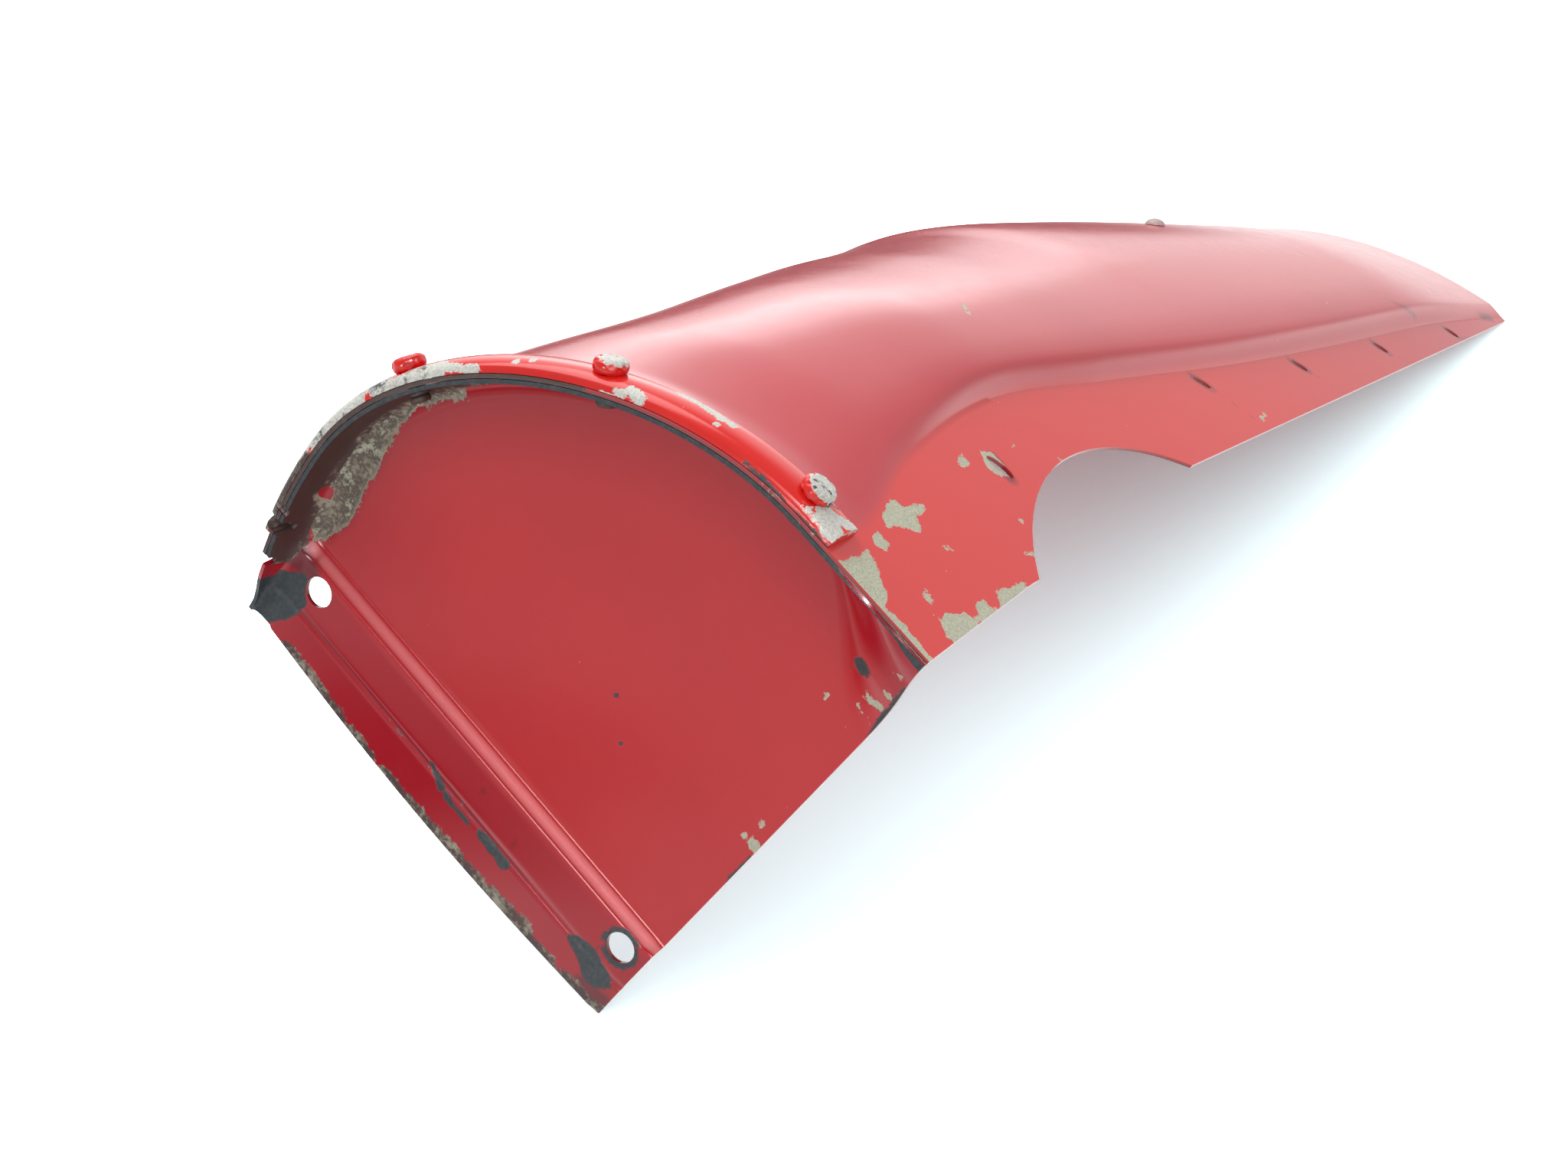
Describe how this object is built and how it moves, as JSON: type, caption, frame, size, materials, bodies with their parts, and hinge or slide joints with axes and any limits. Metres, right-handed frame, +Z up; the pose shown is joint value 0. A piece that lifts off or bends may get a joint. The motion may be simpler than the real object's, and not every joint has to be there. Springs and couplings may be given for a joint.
{
  "type": "scooter leg shield",
  "caption": "Pressed steel leg shield half with a bulged front, a notched side flange, a foot plate with fixing holes and a riveted half-round collar.",
  "frame": {"origin": "middle of the area the shield covers as it lies, on the surface it lies on", "axes": "+Z up from the surface, +X from the foot plate's corner towards the shield's tip, +Y towards the rounded front"},
  "size_m": [0.5672, 0.2548, 0.1826],
  "materials": {
    "shell_paint": "glossy red enamel, scratched, chipped to primer along the edges",
    "plate_paint": "glossy dark red enamel, worn through to primer and dark steel at the corners and the rear lip",
    "strap_paint": "glossy bright red enamel, chipped and peeled",
    "rivet_paint": "red enamel, worn off the tops",
    "bare_rivet": "worn grey paint over steel"
  },
  "bodies": {
    "root": {"shield_shell": "shell_paint", "toe_plate": "plate_paint", "collar_strip": "strap_paint", "collar_rivets": "rivet_paint", "side_rivet": "bare_rivet"}
  },
  "joints": []
}
